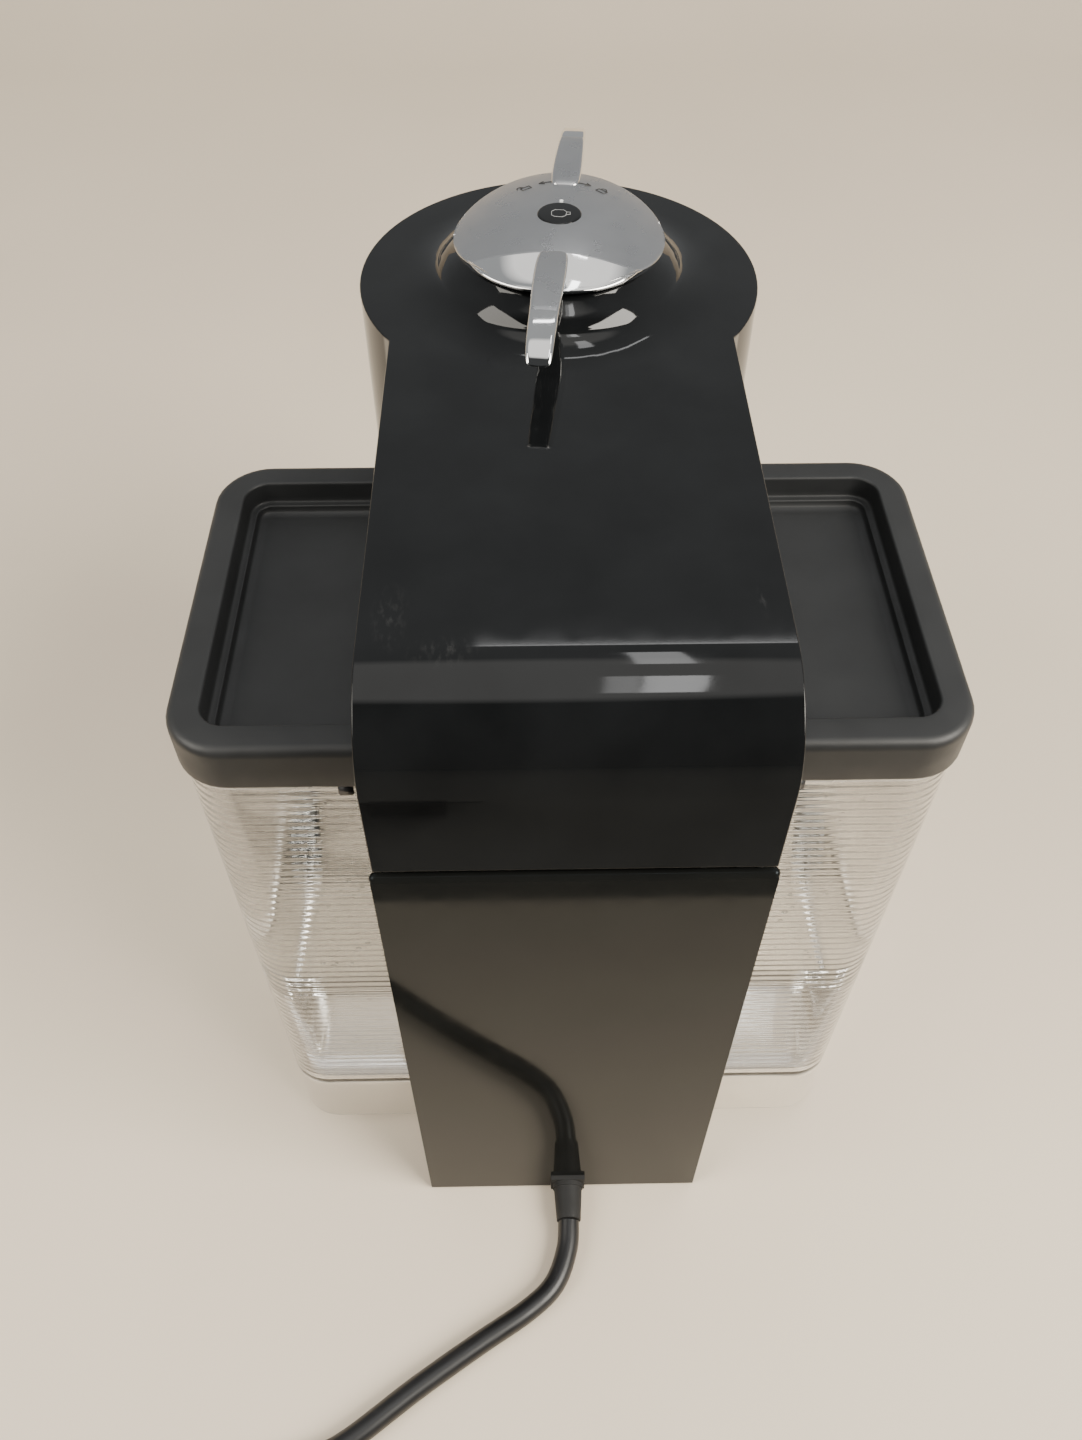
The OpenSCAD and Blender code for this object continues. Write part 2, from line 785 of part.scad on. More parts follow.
module valve_seal() {
  color([0.1, 0.1, 0.1]) translate([0, tank_y, 0]) tube(valve_r + 2.5, valve_r, tank_floor_z - 3, tank_floor_z);
}

module valve_filter() {
  low = tank_floor_z + tank_floor_t;
  color([0.8, 0.8, 0.8]) translate([0, tank_y, 0]) difference() {
    translate([0, 0, low]) cylinder(h = 13, r = 11);
    translate([0, 0, low - 1]) cylinder(h = 12.5, r = 9.8);
    for (turn = [0 : 30 : 150]) rotate([0, 0, turn]) translate([-20, -1, low + 2]) cube([40, 2, 7]);
  }
}

module valve_plunger() {
  color([0.9, 0.9, 0.88]) translate([0, tank_y, 0]) {
    translate([0, 0, rail_top_z + 0.4]) cylinder(h = 35, r = stem_r);
    translate([0, 0, 18]) cylinder(h = 1.5, r = 6.5);
    translate([0, 0, 40.3]) cylinder(h = 3, r = 6);
  }
}

module valve_spring() {
  color("silver") translate([0, tank_y, 0]) tube(5.4, 4.4, 19.5, valve_low_z + 28);
}

module tank_lid() {
  low = lid_top_z - lid_h;
  recess_z = lid_top_z - lid_recess;
  skin = 2.4;
  in_w = lid_w - 2 * lid_rim;
  in_d = lid_d - 2 * lid_rim;
  in_corner = lid_corner - 4;
  color([0.13, 0.13, 0.14]) translate([0, tank_y, 0]) {
    difference() {
      slab(lid_w, lid_d, lid_corner, low, lid_top_z);
      slab(in_w - 4, in_d - 4, in_corner - 2, recess_z, lid_top_z + 1);
      slab(in_w, in_d, in_corner, recess_z + 3, lid_top_z + 1);
      slab(in_w - 8, in_d - 8, in_corner - 4, low - 1, recess_z - skin);
    }
    for (x = [-59, 59], side = [-1, 1])
      translate([x - 2, side * (lid_d / 2 - 0.5) - 0.5, low - 3.4]) cube([4, 1, 3.4 + hair]);
  }
}

// ---- capsule container and cup support ----

module capsule_container() {
  d = box_rear_y - box_front_y;
  color([0.15, 0.15, 0.16]) {
    translate([-box_w / 2, box_front_y, box_low_z]) difference() {
      cube([box_w, d, box_top_z - box_low_z]);
      translate([box_wall, box_wall, box_wall])
        cube([box_w - 2 * box_wall, d - 2 * box_wall, box_top_z]);
    }
    for (side = [0, 1]) mirror([side, 0, 0]) {
      translate([guide_in_x, -99.6, 20]) cube([3, 4.6 + hair, 120]);
      translate([guide_in_x - 2, -101, 20]) cube([5, 1.5, 120]);
    }
  }
}

module cup_outline(inset) {
  d = cup_rear_y - front_y;
  translate([0, front_y + d / 2]) {
    intersection() {
      rounded(cup_w - 2 * inset, d - 2 * inset, 14 - inset);
      translate([0, -d / 4]) square([cup_w, d / 2], center = true);
    }
    translate([-cup_w / 2 + inset, -hair]) square([cup_w - 2 * inset, d / 2 - inset + hair]);
  }
}

module cup_support() {
  plate_w = 2 * guide_in_x - 0.8;
  color([0.15, 0.15, 0.16]) {
    difference() {
      translate([0, 0, cup_low_z]) linear_extrude(cup_h) cup_outline(0);
      translate([0, 0, cup_low_z + cup_wall]) linear_extrude(cup_h) cup_outline(cup_wall);
    }
    translate([-27, cup_rear_y - hair, cup_low_z]) cube([54, 2.6, 40]);
    translate([-plate_w / 2, -99.1, 21]) cube([plate_w, 3.8, 40]);
  }
}

module drip_tray() {
  color([0.1, 0.1, 0.1]) difference() {
    translate([0, 0, cup_low_z + cup_wall]) linear_extrude(cup_h - 4) cup_outline(cup_wall + gap);
    translate([0, 0, cup_low_z + cup_wall + 1.6]) linear_extrude(cup_h) cup_outline(cup_wall + gap + 1.6);
  }
}

module drip_grid() {
  low = cup_low_z + cup_h - 2;
  color([0.75, 0.75, 0.76]) translate([0, 0, low]) linear_extrude(2) difference() {
    cup_outline(cup_wall + gap);
    for (y = [-142 : 6 : -110]) translate([-30, y]) square([60, 3]);
  }
}

base_rail();
rubber_feet();
base_screws();
rear_column();
rear_panel();
hinge_bracket();
hinge_pins();
power_board();
cord_gland();
power_cord();
cord_coil();
power_plug();
inlet_port();
front_column();
head_base();
collector_bowl();
coffee_spout();
bearing_block();
motor_bracket();
drive_motor();
drive_belt();
pump();
pump_mounts();
heating_block();
flow_meter();
water_hoses();
head_shell();
head_liner();
hinge_arms();
liner_screws();
injector();
bell_bearing();
head_hose();
clamp_bell();
bell_gasket();
lever_handle();
lever_spindle();
lock_plate();
button_switch();
button_cap();
button_spring();
capsule_holder();
rotor_shaft();
rotor_pulley();
motor_shaft();
motor_pulley();
water_tank();
valve_body();
valve_seal();
valve_filter();
valve_plunger();
valve_spring();
tank_lid();
capsule_container();
cup_support();
drip_tray();
drip_grid();
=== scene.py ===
"""Looks of the capsule coffee machine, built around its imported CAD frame.

Lengths are in millimetres and become metres where the meshes are made. Stage and lamps are in metres.
"""

import json
import math
import random

import bmesh
import bpy
from mathutils import Matrix, Vector


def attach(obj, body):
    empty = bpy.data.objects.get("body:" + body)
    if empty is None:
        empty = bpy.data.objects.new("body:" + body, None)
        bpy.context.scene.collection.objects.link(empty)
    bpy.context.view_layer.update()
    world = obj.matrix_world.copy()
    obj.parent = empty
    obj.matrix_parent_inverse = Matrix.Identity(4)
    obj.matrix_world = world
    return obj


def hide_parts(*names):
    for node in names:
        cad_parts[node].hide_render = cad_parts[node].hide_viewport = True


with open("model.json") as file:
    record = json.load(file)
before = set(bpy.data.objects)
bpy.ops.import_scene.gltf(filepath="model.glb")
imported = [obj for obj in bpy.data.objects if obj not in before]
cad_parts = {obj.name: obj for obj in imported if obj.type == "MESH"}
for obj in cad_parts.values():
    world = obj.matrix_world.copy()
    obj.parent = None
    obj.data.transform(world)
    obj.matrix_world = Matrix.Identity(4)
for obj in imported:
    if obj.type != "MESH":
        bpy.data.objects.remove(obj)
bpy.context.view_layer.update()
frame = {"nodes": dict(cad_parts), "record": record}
nodes = frame["nodes"]
MM = 0.001

# Sizes repeated from the CAD source
HEAD_Y = -32.3
LEVER_TURN = math.radians(-6.2)
DISC_R, DISC_LOW, DISC_TOP = 32.0, 295.2, 303.5
DISC_SIDE_FALL, DISC_END_FALL = 7.6, 2.9
FACET_Y, FACET_LOW = 20.5, 297.0
BUTTON_TOP = 303.8
TANK_Y = 68.9
TANK_W, TANK_D, TANK_CORNER = 207.4, 111.0, 15.0
TANK_LOW, TANK_TOP, TANK_WALL = 8.4, 230.4, 2.4
TANK_FLOOR, TANK_SKIRT_TOP = 40.0, 37.0
LID_W, LID_D, LID_CORNER = 210.0, 113.6, 16.0
LID_LOW, LID_TOP, LID_RIM = 230.5, 246.1, 9.3
CORD_R = 4.0
CORD_ROUTE = [
    (-2, 166, 5.4), (-1, 176, 4.4), (4, 188, 4), (14, 197, 4), (32, 208, 4),
    (54, 222, 4), (76, 237.3, 4), (87, 242.4, 4), (98, 245.4, 4), (112, 247.7, 4),
    (128, 250.4, 4), (146, 253.7, 4),
]
COIL_X, COIL_Y, COIL_R = 144.0, 302.0, 44.0
COIL_FIRST, COIL_LAST = -80, 810   # degrees turned by the coil
COIL_SHIFT = 105                   # degrees taken to move to the next turn
WATER_TOP = 123.0
RIB_PITCH, RIB_DEPTH, RIB_FADE_Z = 3.5, 0.42, 122.0
TABLE_EDGE_Y = 0.281   # metres, where the mirrored table ends behind the camera; past it the floor is painted dark in glossy reflections


# ---- camera ----

def look(yaw, pitch, roll):
    d = Vector((math.sin(yaw) * math.cos(pitch), -math.cos(yaw) * math.cos(pitch), -math.sin(pitch)))
    r = d.cross(Vector((0, 0, 1))).normalized()
    u = r.cross(d)
    r, u = r * math.cos(roll) + u * math.sin(roll), u * math.cos(roll) - r * math.sin(roll)
    return Matrix((r, u, -d)).transposed()


def make_camera():
    data = bpy.data.cameras.new("camera")
    data.lens, data.sensor_width = 29.87, 36.0
    data.clip_start = 0.01
    o = bpy.data.objects.new("camera", data)
    bpy.context.scene.collection.objects.link(o)
    o.matrix_world = Matrix.Translation((0.0115, 0.3116, 0.4803)) @ look(-0.018, 0.876, 0.0012).to_4x4()
    bpy.context.scene.camera = o


make_camera()


# ---- node materials ----

def node(nt, kind, **values):
    n = nt.nodes.new(kind)
    for key, value in values.items():
        if key in n.inputs.keys():
            n.inputs[key].default_value = value
        else:
            setattr(n, key, value)
    return n


def coords(nt, stretch=(1, 1, 1)):
    tc = node(nt, "ShaderNodeTexCoord")
    mp = node(nt, "ShaderNodeMapping", Scale=stretch)
    nt.links.new(tc.outputs["Object"], mp.inputs["Vector"])
    return mp.outputs["Vector"]


def noise(nt, scale, detail=3.0, stretch=(1, 1, 1), rough=0.5):
    n = node(nt, "ShaderNodeTexNoise", Scale=scale, Detail=detail, Roughness=rough)
    nt.links.new(coords(nt, stretch), n.inputs["Vector"])
    return n.outputs["Fac"]


def ramp(nt, value, low, high, to_low, to_high):
    limits = {"From Min": low, "From Max": high, "To Min": to_low, "To Max": to_high}
    r = node(nt, "ShaderNodeMapRange", **limits)
    nt.links.new(value, r.inputs["Value"])
    return r.outputs["Result"]


def mix_colour(nt, factor, a, b):
    m = node(nt, "ShaderNodeMix", data_type="RGBA")
    sockets = [s for s in m.inputs if s.type == "RGBA"]
    for s, value in zip(sockets, (a, b)):
        if hasattr(value, "links"):
            nt.links.new(value, s)
        else:
            s.default_value = (*value, 1)
    factor_socket = [s for s in m.inputs if s.type == "VALUE"][0]
    nt.links.new(factor, factor_socket)
    return [s for s in m.outputs if s.type == "RGBA"][0]


def sum_of(nt, values):
    total = values[0]
    for value in values[1:]:
        m = node(nt, "ShaderNodeMath", operation="ADD", use_clamp=True)
        nt.links.new(total, m.inputs[0])
        nt.links.new(value, m.inputs[1])
        total = m.outputs[0]
    return total


def product(nt, a, b):
    m = node(nt, "ShaderNodeMath", operation="MULTIPLY")
    nt.links.new(a, m.inputs[0])
    nt.links.new(b, m.inputs[1])
    return m.outputs[0]


def near(nt, point, reach, stretch=(1, 1, 1)):
    """1 at the point, falling to 0 at the reach, both in millimetres."""
    v = node(nt, "ShaderNodeVectorMath", operation="DISTANCE")
    nt.links.new(coords(nt, stretch), v.inputs[0])
    v.inputs[1].default_value = [c * MM * s for c, s in zip(point, stretch)]
    return ramp(nt, v.outputs["Value"], 0.0, reach * MM, 1.0, 0.0)


def material(name, colour, rough, vary=0.12, patch=45.0, grain=2200.0, grain_depth=0.00002,
             grain_strength=0.3, wear=0.0, wear_colour=(0.3, 0.3, 0.3), scuffs=(), **shader):
    """Principled shader whose colour and roughness drift, with a fine moulded grain and light wear."""
    m = bpy.data.materials.new(name)
    m.use_nodes = True
    nt = m.node_tree
    b = nt.nodes["Principled BSDF"]
    for key, value in shader.items():
        b.inputs[key.replace("_", " ")].default_value = value
    drift = noise(nt, patch)
    base = mix_colour(nt, ramp(nt, drift, 0.3, 0.7, 0.0, 1.0),
                      [c * (1 - vary) for c in colour], [min(1.0, c * (1 + vary)) for c in colour])
    roughness = ramp(nt, noise(nt, patch * 3, 5.0), 0.3, 0.7, rough[0], rough[1])
    marks = []
    if wear:
        streaks = ramp(nt, noise(nt, 220.0, 6.0, (0.25, 1.0, 1.0), 0.7), 0.66, 0.74, 0.0, wear)
        blotches = ramp(nt, noise(nt, 18.0, 2.0), 0.45, 0.65, 0.0, 1.0)
        marks.append(product(nt, streaks, blotches))
    for point, reach, stretch in scuffs:
        smear = ramp(nt, noise(nt, 900.0, 4.0, (1.0, 0.4, 1.0)), 0.5, 0.75, 0.0, 0.35)
        marks.append(product(nt, near(nt, point, reach, stretch), smear))
    if marks:
        worn = sum_of(nt, marks)
        base = mix_colour(nt, worn, base, wear_colour)
        roughness = sum_of(nt, [roughness, ramp(nt, worn, 0.0, 1.0, 0.0, 0.35)])
    nt.links.new(base, b.inputs["Base Color"])
    nt.links.new(roughness, b.inputs["Roughness"])
    if grain_strength:
        bump = node(nt, "ShaderNodeBump", Strength=grain_strength, Distance=grain_depth)
        nt.links.new(noise(nt, grain, 2.0), bump.inputs["Height"])
        nt.links.new(bump.outputs["Normal"], b.inputs["Normal"])
    return m


def clear(name, colour, ior, rough, shade):
    """Clear plastic or water. Lamps shine through it, dimmed by its shade."""
    m = bpy.data.materials.new(name)
    m.use_nodes = True
    nt = m.node_tree
    b = nt.nodes["Principled BSDF"]
    b.inputs["Transmission Weight"].default_value = 1.0
    b.inputs["IOR"].default_value = ior
    b.inputs["Base Color"].default_value = (*colour, 1)
    nt.links.new(ramp(nt, noise(nt, 60.0), 0.3, 0.7, rough[0], rough[1]), b.inputs["Roughness"])
    out = nt.nodes["Material Output"]
    lamp = node(nt, "ShaderNodeBsdfTransparent", Color=(shade, shade, shade, 1))
    path = node(nt, "ShaderNodeLightPath")
    mixed = node(nt, "ShaderNodeMixShader")
    nt.links.new(path.outputs["Is Shadow Ray"], mixed.inputs[0])
    nt.links.new(b.outputs[0], mixed.inputs[1])
    nt.links.new(lamp.outputs[0], mixed.inputs[2])
    nt.links.new(mixed.outputs[0], out.inputs["Surface"])
    return m


M = {
    "gloss_black": material(
        "gloss_black", (0.006, 0.0065, 0.007), (0.03, 0.06), vary=0.25, grain_strength=0.03, wear=0.06,
        wear_colour=(0.06, 0.06, 0.06),
        scuffs=[((43, 116, 283), 5, (1, 0.4, 1)), ((-44, 112, 283), 3, (2, 0.4, 1)),
                ((30, 127, 283), 5, (0.5, 1, 1))],
        Specular_IOR_Level=0.45),
    "gloss_graphite": material(
        "gloss_graphite", (0.009, 0.0095, 0.009), (0.04, 0.08), vary=0.15, grain_strength=0.03, wear=0.05,
        wear_colour=(0.05, 0.05, 0.05), Specular_IOR_Level=0.11, Specular_Tint=(0.74, 0.9, 1.0, 1.0)),
    "matte_black": material(
        "matte_black", (0.022, 0.023, 0.024), (0.42, 0.52), vary=0.15, grain=2600.0, grain_strength=0.5,
        wear=0.3, wear_colour=(0.06, 0.06, 0.06)),
    "soft_black": material(
        "soft_black", (0.016, 0.016, 0.017), (0.32, 0.42), vary=0.15, grain=1800.0, grain_strength=0.35,
        wear=0.3, wear_colour=(0.05, 0.05, 0.05)),
    "chrome_lever": material(
        "chrome_satin", (0.62, 0.62, 0.63), (0.26, 0.32), vary=0.04, grain=3200.0, grain_strength=0.25,
        wear=0.2, wear_colour=(0.5, 0.5, 0.5), Metallic=1.0),
    "chrome_polished": material(
        "chrome_polished", (0.82, 0.82, 0.82), (0.03, 0.06), vary=0.03, grain_strength=0.03, wear=0.15,
        wear_colour=(0.6, 0.6, 0.6), Metallic=1.0),
    "steel": material("steel", (0.55, 0.55, 0.56), (0.22, 0.34), vary=0.06, grain_strength=0.2, Metallic=1.0),
    "zinc_grey": material(
        "zinc_grey", (0.2, 0.205, 0.21), (0.4, 0.55), grain=900.0, grain_strength=0.5, Metallic=0.6),
    "aluminium_cast": material(
        "aluminium_cast", (0.5, 0.51, 0.53), (0.4, 0.55), grain=700.0, grain_strength=0.6, Metallic=1.0),
    "rubber_black": material(
        "rubber_black", (0.014, 0.014, 0.014), (0.6, 0.75), grain=1500.0, grain_strength=0.5),
    "silicone": material(
        "silicone", (0.55, 0.5, 0.45), (0.4, 0.5), grain_strength=0.2, Subsurface_Weight=0.1),
    "board_green": material("board_green", (0.02, 0.09, 0.04), (0.3, 0.4), grain=500.0, grain_strength=0.3),
    "nylon_grey": material("nylon_grey", (0.09, 0.09, 0.1), (0.35, 0.45), grain_strength=0.3),
    "nylon_white": material("nylon_white", (0.66, 0.66, 0.62), (0.35, 0.45), grain_strength=0.3),
    "brass_pump": material(
        "brass_pump", (0.5, 0.38, 0.16), (0.28, 0.4), grain=900.0, grain_strength=0.4, Metallic=1.0),
    "cord_black": material(
        "cord_black", (0.01, 0.01, 0.011), (0.3, 0.42), grain=1400.0, grain_strength=0.25, wear=0.25,
        wear_colour=(0.05, 0.05, 0.05)),
    "clear_tank": clear("clear_tank", (0.945, 0.94, 0.93), 1.47, (0.02, 0.06), 0.8),
    # painted highlight: whitish, half-clear plastic for the bright lines on the tank's lip and foot
    "tank_edge_highlight": material(
        "tank_edge_highlight", (0.8, 0.79, 0.76), (0.2, 0.3), vary=0.05, grain_strength=0.05, Transmission_Weight=0.5),
    "water": clear("water", (0.88, 0.9, 0.9), 1.33, (0.0, 0.0), 0.85),
    "ink": material("ink", (0.03, 0.03, 0.03), (0.4, 0.5), grain_strength=0.1),
    "print_grey": material("print_grey", (0.35, 0.36, 0.37), (0.35, 0.45), grain_strength=0.1),
    "light_white": material("light_white", (0.9, 0.92, 0.93), (0.15, 0.25), grain_strength=0.05),
}

# ---- mesh helpers ----

def link(name, data, body, slot, *replaced):
    o = bpy.data.objects.new(name, data)
    bpy.context.scene.collection.objects.link(o)
    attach(o, body)
    if replaced:
        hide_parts(*replaced)
    return o


def finish_mesh(bm, name, body, slot, mats, *replaced):
    bmesh.ops.recalc_face_normals(bm, faces=bm.faces)
    me = bpy.data.meshes.new(name)
    for f in bm.faces:
        f.smooth = True
    for e in bm.edges:
        faces = e.link_faces
        if len(faces) == 2 and faces[0].material_index != faces[1].material_index:
            e.smooth = False
    bm.to_mesh(me)
    bm.free()
    for m in mats:
        me.materials.append(M[m])
    return link(name, me, body, slot, *replaced)


def rounded_ring(w, d, r, inset, cx, cy, steps, per_side):
    """Points and outward normals round a rounded rectangle."""
    w, d, r = w / 2 - inset, d / 2 - inset, max(r - inset, 0.6)
    out = []
    for corner, (sx, sy) in enumerate(((1, 1), (-1, 1), (-1, -1), (1, -1))):
        for i in range(steps + 1):
            a = math.radians(90 * corner + 90 * i / steps)
            out.append((cx + sx * (w - r) + r * math.cos(a), cy + sy * (d - r) + r * math.sin(a),
                        math.cos(a), math.sin(a)))
        nx, ny = ((-1, 1), (-1, -1), (1, -1), (1, 1))[corner]
        a = math.radians(90 * corner + 90)
        end = (cx + nx * (w - r) + r * math.cos(a), cy + ny * (d - r) + r * math.sin(a))
        x, y = out[-1][:2]
        for i in range(1, per_side):
            t = i / per_side
            out.append((x + (end[0] - x) * t, y + (end[1] - y) * t, math.cos(a), math.sin(a)))
    return out


def loft(rings, materials=None):
    """A closed solid through rings of points, with a cap on its first and last ring."""
    bm = bmesh.new()
    rows = [[bm.verts.new([c * MM for c in p]) for p in ring] for ring in rings]
    n = len(rows[0])
    for i in range(len(rows) - 1):
        for k in range(n):
            f = bm.faces.new((rows[i][k], rows[i][(k + 1) % n], rows[i + 1][(k + 1) % n], rows[i + 1][k]))
            if materials:
                f.material_index = materials(i, k)
    bm.faces.new(rows[0])
    bm.faces.new(list(reversed(rows[-1])))
    return bm


def arc(c_inset, c_z, r, start, end, steps):
    """Profile points on an arc. Angles are in degrees, with 0 pointing inwards and 90 up."""
    return [(c_inset + r * math.cos(math.radians(start + (end - start) * i / steps)),
             c_z + r * math.sin(math.radians(start + (end - start) * i / steps))) for i in range(steps + 1)]


def soften(name, width):
    """Small rounded edges on a carried-over CAD node."""
    o = nodes[name]
    if "custom_normal" in o.data.attributes:
        o.data.attributes.remove(o.data.attributes["custom_normal"])
    o.data.polygons.foreach_set("use_smooth", [True] * len(o.data.polygons))
    weld = o.modifiers.new("weld", "WELD")
    weld.merge_threshold = 0.00002
    flat = o.modifiers.new("flat", "DECIMATE")
    flat.decimate_type = "DISSOLVE"
    flat.angle_limit = math.radians(0.4)
    bevel = o.modifiers.new("bevel", "BEVEL")
    bevel.width = width * MM
    bevel.segments = 2
    bevel.limit_method = "ANGLE"
    bevel.angle_limit = math.radians(35)
    bevel.use_clamp_overlap = True
    weighted = o.modifiers.new("weighted", "WEIGHTED_NORMAL")
    weighted.mode = "FACE_AREA"
    weighted.weight = 100
    weighted.keep_sharp = False


def smooth_line(points, per_span=8):
    out = []
    for i in range(len(points) - 1):
        p0, p1 = Vector(points[max(i - 1, 0)]), Vector(points[i])
        p2, p3 = Vector(points[i + 1]), Vector(points[min(i + 2, len(points) - 1)])
        for k in range(per_span):
            t = k / per_span
            out.append(0.5 * (2 * p1 + (p2 - p0) * t + (2 * p0 - 5 * p1 + 4 * p2 - p3) * t * t
                              + (3 * p1 - p0 - 3 * p2 + p3) * t ** 3))
    out.append(Vector(points[-1]))
    return out


def curve(name, lines, radius, mat, body, slot, *replaced, resolution=3):
    data = bpy.data.curves.new(name, "CURVE")
    data.dimensions = "3D"
    data.bevel_depth = radius * MM
    data.bevel_resolution = resolution
    data.use_fill_caps = True
    for line in lines:
        s = data.splines.new("POLY")
        s.points.add(len(line) - 1)
        for p, co in zip(s.points, line):
            p.co = (co[0] * MM, co[1] * MM, co[2] * MM, 1)
    data.materials.append(M[mat])
    return link(name, data, body, slot, *replaced)


# ---- cord ----

def cord_line():
    """The route on the table, an outer turn, an inner turn, half a turn on top and the run to the plug."""
    line = smooth_line(CORD_ROUTE, 6)
    for a in range(COIL_FIRST, COIL_LAST + 1, 6):
        inwards, upwards = ease((a - 215) / COIL_SHIFT), ease((a - 530) / COIL_SHIFT)
        r = COIL_R + CORD_R - 2 * CORD_R * inwards + CORD_R * ease((a - 580) / COIL_SHIFT)
        z = CORD_R + 2 * CORD_R * upwards
        turn = math.radians(a)
        line.append(Vector((COIL_X + r * math.cos(turn), COIL_Y + r * math.sin(turn), z)))
    for step in range(1, 6):
        line.append(Vector((COIL_X - 6 * step, COIL_Y + COIL_R, 3 * CORD_R)))
    return line


def ease(t):
    t = min(1.0, max(0.0, t))
    return t * t * (3 - 2 * t)


cord_points = cord_line()
cord = curve("mains_cord", [cord_points], CORD_R, "cord_black", "base", "cord_black",
             "power_cord", "cord_coil", resolution=4)

# ---- lever ----

def dome(x, y):
    return DISC_TOP - (DISC_SIDE_FALL * x * x + DISC_END_FALL * y * y) / DISC_R ** 2


def facet(x, y):
    """The polished, slightly hollow slope that cuts the rear of the dome."""
    t = (y - FACET_Y) / (DISC_R - FACET_Y)
    return dome(x, FACET_Y) - (dome(0, FACET_Y) - FACET_LOW) * (1 - (1 - t) ** 1.35)


def lever_place(p):
    c, s = math.cos(LEVER_TURN), math.sin(LEVER_TURN)
    return (c * p[0] - s * p[1], s * p[0] + c * p[1] + HEAD_Y, p[2])


def make_disc():
    bm = bmesh.new()
    columns = []
    count = 72
    dome_rows, facet_rows = 32, 10
    for i in range(count + 1):
        x = -DISC_R * math.cos(math.pi * i / count)
        rim = math.sqrt(max(DISC_R ** 2 - x * x, 0.0))
        edge = min(FACET_Y, rim)
        ys = [-rim + (rim + edge) * k / dome_rows for k in range(dome_rows + 1)]
        points = [(x, y, dome(x, y)) for y in ys]
        points += [(x, y, facet(x, y) if rim > FACET_Y else dome(x, y))
                   for y in [edge + (rim - edge) * k / facet_rows for k in range(1, facet_rows + 1)]]
        columns.append([bm.verts.new([c * MM for c in lever_place(p)]) for p in points])
    for i in range(count):
        for k in range(len(columns[0]) - 1):
            quad = (columns[i][k], columns[i + 1][k], columns[i + 1][k + 1], columns[i][k + 1])
            f = bm.faces.new(quad)
            f.material_index = 0 if k < dome_rows else 1
    bmesh.ops.remove_doubles(bm, verts=bm.verts, dist=0.000004)
    rim_edges = [e for e in bm.edges if e.is_boundary]
    made = bmesh.ops.extrude_edge_only(bm, edges=rim_edges)["geom"]
    low = [v for v in made if isinstance(v, bmesh.types.BMVert)]
    for v in low:
        v.co.z = (DISC_LOW + 0.5) * MM
    for f in bm.faces:
        on_rim = all(v in low or any(e in rim_edges for e in v.link_edges) for v in f.verts)
        if on_rim and any(v in low for v in f.verts):
            f.material_index = 1
    edges = [e for e in bm.edges if e.verts[0] in low and e.verts[1] in low]
    made = bmesh.ops.extrude_edge_only(bm, edges=edges)["geom"]
    centre = Vector((0, HEAD_Y * MM, 0))
    for v in made:
        if isinstance(v, bmesh.types.BMVert):
            flat = Vector((v.co.x, v.co.y, 0)) - centre
            v.co = centre + flat * (24 / DISC_R) + Vector((0, 0, DISC_LOW * MM))
    finishes = ["chrome_lever", "chrome_polished"]
    o = finish_mesh(bm, "lever_disc", "lever", "chrome_lever", finishes, "lever_handle")
    bevel = o.modifiers.new("bevel", "BEVEL")
    bevel.width = 0.35 * MM
    bevel.segments = 2
    bevel.limit_method = "ANGLE"
    bevel.angle_limit = math.radians(16)
    bevel.use_clamp_overlap = False
    return o


WING = [  # reach, half width, top height, bottom height
    (19.5, 1.6, 301.2, 297.5), (19.8, 3.0, 302.3, 297.5), (20.6, 4.0, 302.8, 297.4),
    (22.5, 4.5, 303.0, 297.2), (28, 4.7, 303.3, 297.0), (34, 4.7, 303.4, 296.8),
    (42, 4.5, 303.35, 296.4), (48, 4.3, 303.15, 296.1), (50, 4.2, 303.05, 296.0),
    (51, 4.15, 302.9, 295.9), (56, 4.1, 302.3, 295.8), (60, 4.0, 301.6, 295.7),
    (64, 3.9, 300.6, 295.7), (66.8, 3.7, 299.1, 295.8), (68.3, 3.4, 297.8, 296.0), (69, 2.9, 297.0, 296.3),
]


WING_SATIN_RINGS = 9   # the top is satin up to this ring, then polished


def make_wing(name, turn):
    rings = []
    for reach, half, top, low in WING:
        edge = min(1.1, half * 0.4)
        drop = min(edge, (top - low) * 0.4)
        section = []   # a rectangle with rounded corners, narrower at its foot
        for cx, cz, start in ((half - edge, top - drop, 0), (-half + edge, top - drop, 90),
                              (-half * 0.86 + edge, low + drop, 180), (half * 0.86 - edge, low + drop, 270)):
            for i in range(5):
                a = math.radians(start + 22.5 * i)
                section.append((cx + edge * math.cos(a), cz + drop * math.sin(a)))
        rings.append([lever_place((x * turn, reach * turn, z)) for x, z in section])

    def paint(i, k):
        return 0 if 3 <= k <= 5 and i < WING_SATIN_RINGS else 1
    bm = loft(rings, materials=paint)
    for f in bm.faces:
        if len(f.verts) > 4:
            f.material_index = 1
    o = finish_mesh(bm, name, "lever", "chrome_lever", ["chrome_lever", "chrome_polished"], "lever_handle")
    smooth = o.modifiers.new("smooth", "SUBSURF")
    smooth.levels = smooth.render_levels = 2
    return o


make_disc()
make_wing("lever_wing_rear", 1)
make_wing("lever_wing_front", -1)


def on_disc(radius, degrees):
    """A point on the disc, the angle counted from the far side of the button, positive towards +X."""
    a = math.radians(degrees)
    return radius * math.sin(a), -radius * math.cos(a)


def raised(points):
    return [lever_place((x, y, dome(x, y))) for x, y in points]


